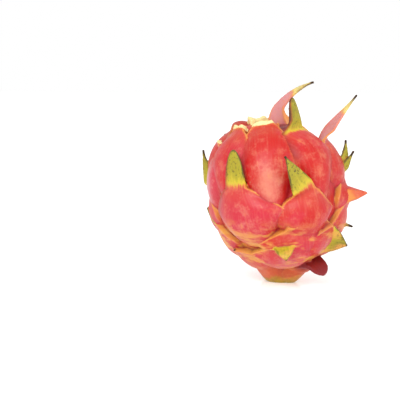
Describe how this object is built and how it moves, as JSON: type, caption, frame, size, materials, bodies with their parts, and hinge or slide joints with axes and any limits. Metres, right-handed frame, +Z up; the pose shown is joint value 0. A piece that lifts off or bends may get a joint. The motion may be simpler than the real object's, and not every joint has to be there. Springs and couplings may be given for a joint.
{
  "type": "dragon fruit",
  "caption": "Whole ripe dragon fruit standing on its stem end, an egg-shaped body wrapped in fleshy scales that end in curling leafy tips.",
  "frame": {"origin": "centre of the flat spot under the stem end, where the fruit rests", "axes": "+Z up, from the rest spot to the flower end; the fruit's own axis leans 9 degrees toward -X; -Y is the side with the two broad leafy tips"},
  "size_m": [0.116, 0.1248, 0.1388],
  "materials": {
    "rind": "waxy red and magenta rind, yellow-green leafy tips"
  },
  "bodies": {
    "root": {"dragon_fruit": "rind"}
  },
  "joints": []
}
